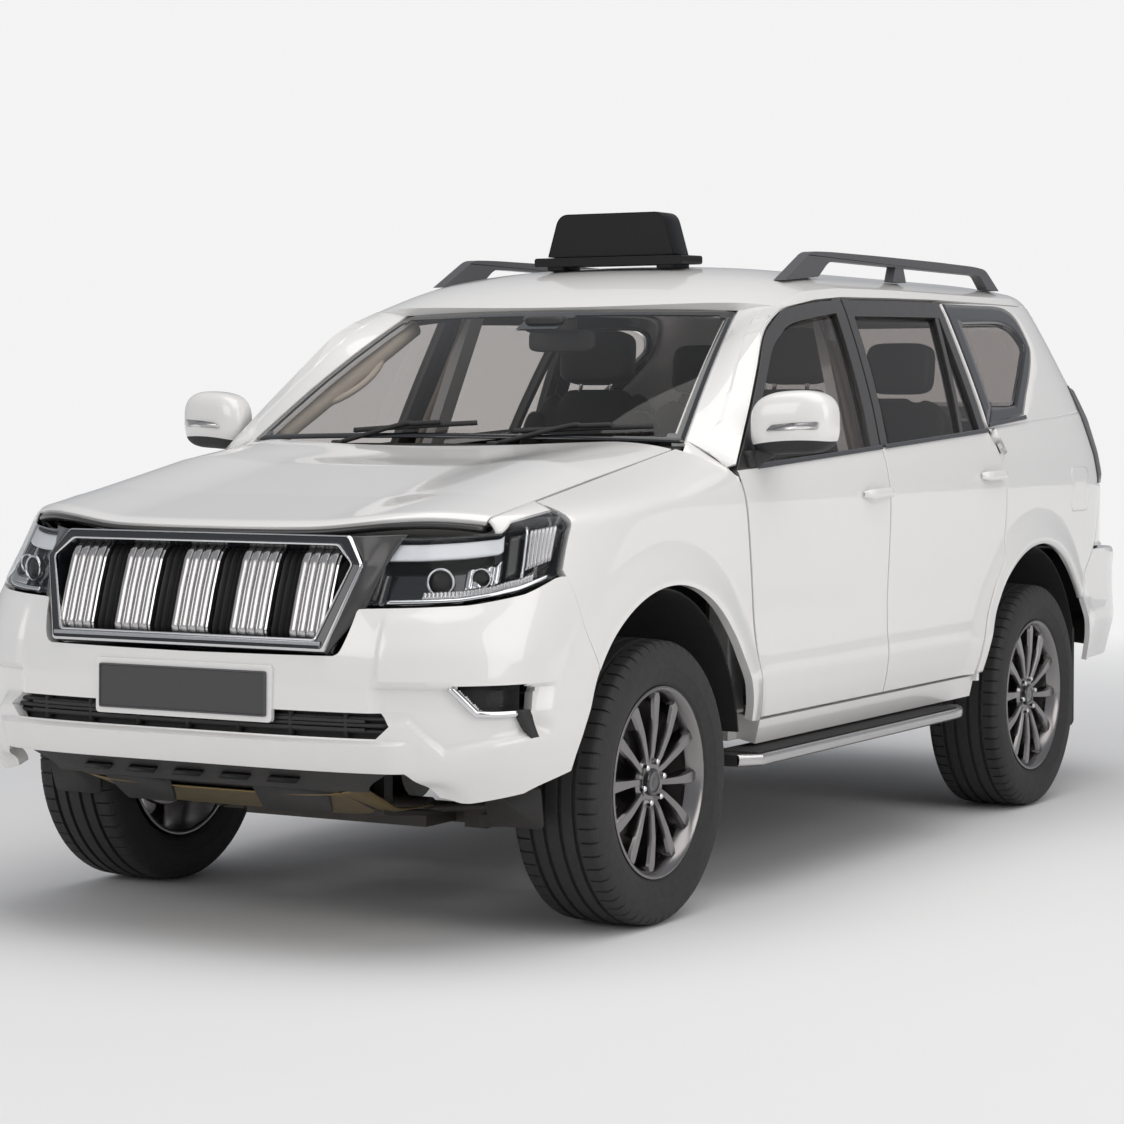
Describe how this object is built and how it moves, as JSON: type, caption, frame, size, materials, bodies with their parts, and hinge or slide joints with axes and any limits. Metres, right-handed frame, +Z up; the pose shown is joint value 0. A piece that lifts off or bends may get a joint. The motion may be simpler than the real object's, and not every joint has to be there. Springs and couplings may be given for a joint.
{
  "type": "taxi",
  "caption": "Full-size five-door off-road taxi with steered front wheels, swinging doors and tailgate, lifting hood, roof rails and a blank roof sign.",
  "frame": {"origin": "on the ground under the middle of the whole vehicle", "axes": "-Y is forward, +X is the left side of the car, +Z is up; the ground is z = 0"},
  "size_m": [2.2296, 4.8395, 2.0017],
  "materials": {
    "body_paint": "gloss clear-coated warm white",
    "frame_black": "satin black coating",
    "black_plastic": "fine grained matt",
    "clear_glass": "clear laminated",
    "tinted_glass": "smoked",
    "grille_chrome": "satin chrome over dark mesh",
    "lamp_clear": "clear polycarbonate",
    "lamp_red": "clear red lens",
    "rail_grey": "satin dark grey",
    "sign_black": "semi-gloss, blank",
    "cast_metal": "as cast",
    "pipe_steel": "dull steel",
    "cabin_plastic": "soft grained",
    "seat_leather": "grained, stitched",
    "tyre_rubber": "matt, blank sidewall",
    "rim_metal": "dark chrome"
  },
  "bodies": {
    "body": {"chassis_frame": "frame_black", "floor_pan": "frame_black", "arch_liners": "black_plastic", "side_frames": "body_paint", "front_fenders": "body_paint", "quarter_panels": "body_paint", "roof_panel": "body_paint", "windshield": "clear_glass", "quarter_windows": "tinted_glass", "front_bumper": "body_paint", "grille": "grille_chrome", "lower_grille": "black_plastic", "front_lamps": "lamp_clear", "cowl_wipers": "black_plastic", "roof_rails": "rail_grey", "roof_sign": "sign_black", "side_steps": "black_plastic", "tail_lamps": "lamp_red", "rear_bumper": "body_paint", "engine_block": "cast_metal", "driveline": "cast_metal", "exhaust": "pipe_steel", "fuel_tank": "black_plastic", "front_suspension": "frame_black", "rear_axle": "frame_black", "dashboard": "cabin_plastic", "front_seats": "seat_leather", "rear_seats": "seat_leather"},
    "hood": {"hood": "body_paint"},
    "tailgate": {"tailgate": "body_paint", "tailgate_glass": "tinted_glass"},
    "steering_wheel": {"steering_wheel": "seat_leather"},
    "knuckle_left": {"knuckle_left": "cast_metal"},
    "wheel_front_left": {"tyre_front_left": "tyre_rubber", "rim_front_left": "rim_metal"},
    "door_front_left": {"front_door_left": "body_paint", "front_glass_left": "tinted_glass", "mirror_left": "body_paint"},
    "wheel_rear_left": {"tyre_rear_left": "tyre_rubber", "rim_rear_left": "rim_metal"},
    "door_rear_left": {"rear_door_left": "body_paint", "rear_glass_left": "tinted_glass"},
    "knuckle_right": {"knuckle_right": "cast_metal"},
    "wheel_front_right": {"tyre_front_right": "tyre_rubber", "rim_front_right": "rim_metal"},
    "door_front_right": {"front_door_right": "body_paint", "front_glass_right": "tinted_glass", "mirror_right": "body_paint"},
    "wheel_rear_right": {"tyre_rear_right": "tyre_rubber", "rim_rear_right": "rim_metal"},
    "door_rear_right": {"rear_door_right": "body_paint", "rear_glass_right": "tinted_glass"}
  },
  "joints": [
    {"name": "roll_front_left", "type": "hinge", "parent": "knuckle_left", "child": "wheel_front_left", "pos_m": [0.792, -1.51, 0.387], "axis": [-1, 0, 0], "continuous": true},
    {"name": "door_front_left_swing", "type": "hinge", "parent": "body", "child": "door_front_left", "pos_m": [0.923, -1.01, 0.9], "axis": [0, 0, -1], "range_deg": [0, 68]},
    {"name": "roll_rear_left", "type": "hinge", "parent": "body", "child": "wheel_rear_left", "pos_m": [0.792, 1.28, 0.387], "axis": [-1, 0, 0], "continuous": true},
    {"name": "door_rear_left_swing", "type": "hinge", "parent": "body", "child": "door_rear_left", "pos_m": [0.923, 0.014, 0.9], "axis": [0, 0, -1], "range_deg": [0, 68]},
    {"name": "steer_left", "type": "hinge", "parent": "body", "child": "knuckle_left", "pos_m": [0.706, -1.51, 0.387], "axis": [0, 0, 1], "range_deg": [-32, 32]},
    {"name": "roll_front_right", "type": "hinge", "parent": "knuckle_right", "child": "wheel_front_right", "pos_m": [-0.792, -1.51, 0.387], "axis": [-1, 0, 0], "continuous": true},
    {"name": "door_front_right_swing", "type": "hinge", "parent": "body", "child": "door_front_right", "pos_m": [-0.923, -1.01, 0.9], "axis": [0, 0, 1], "range_deg": [0, 68]},
    {"name": "roll_rear_right", "type": "hinge", "parent": "body", "child": "wheel_rear_right", "pos_m": [-0.792, 1.28, 0.387], "axis": [-1, 0, 0], "continuous": true},
    {"name": "door_rear_right_swing", "type": "hinge", "parent": "body", "child": "door_rear_right", "pos_m": [-0.923, 0.014, 0.9], "axis": [0, 0, 1], "range_deg": [0, 68]},
    {"name": "steer_right", "type": "hinge", "parent": "body", "child": "knuckle_right", "pos_m": [-0.706, -1.51, 0.387], "axis": [0, 0, 1], "range_deg": [-32, 32]},
    {"name": "hood_lift", "type": "hinge", "parent": "body", "child": "hood", "pos_m": [0, -1.116, 1.254], "axis": [-1, 0, 0], "range_deg": [0, 50]},
    {"name": "tailgate_swing", "type": "hinge", "parent": "body", "child": "tailgate", "pos_m": [-0.639, 2.246, 1.1], "axis": [0, 0, 1], "range_deg": [0, 90]},
    {"name": "steering_wheel_turn", "type": "hinge", "parent": "body", "child": "steering_wheel", "pos_m": [0.37, -0.43, 1.07], "axis": [0, 0.8988, 0.4384], "range_deg": [-490, 490]}
  ],
  "couplings": [
    {"joint": "steer_right", "follows": "steer_left", "ratio": 1},
    {"joint": "steering_wheel_turn", "follows": "steer_left", "ratio": 15}
  ]
}
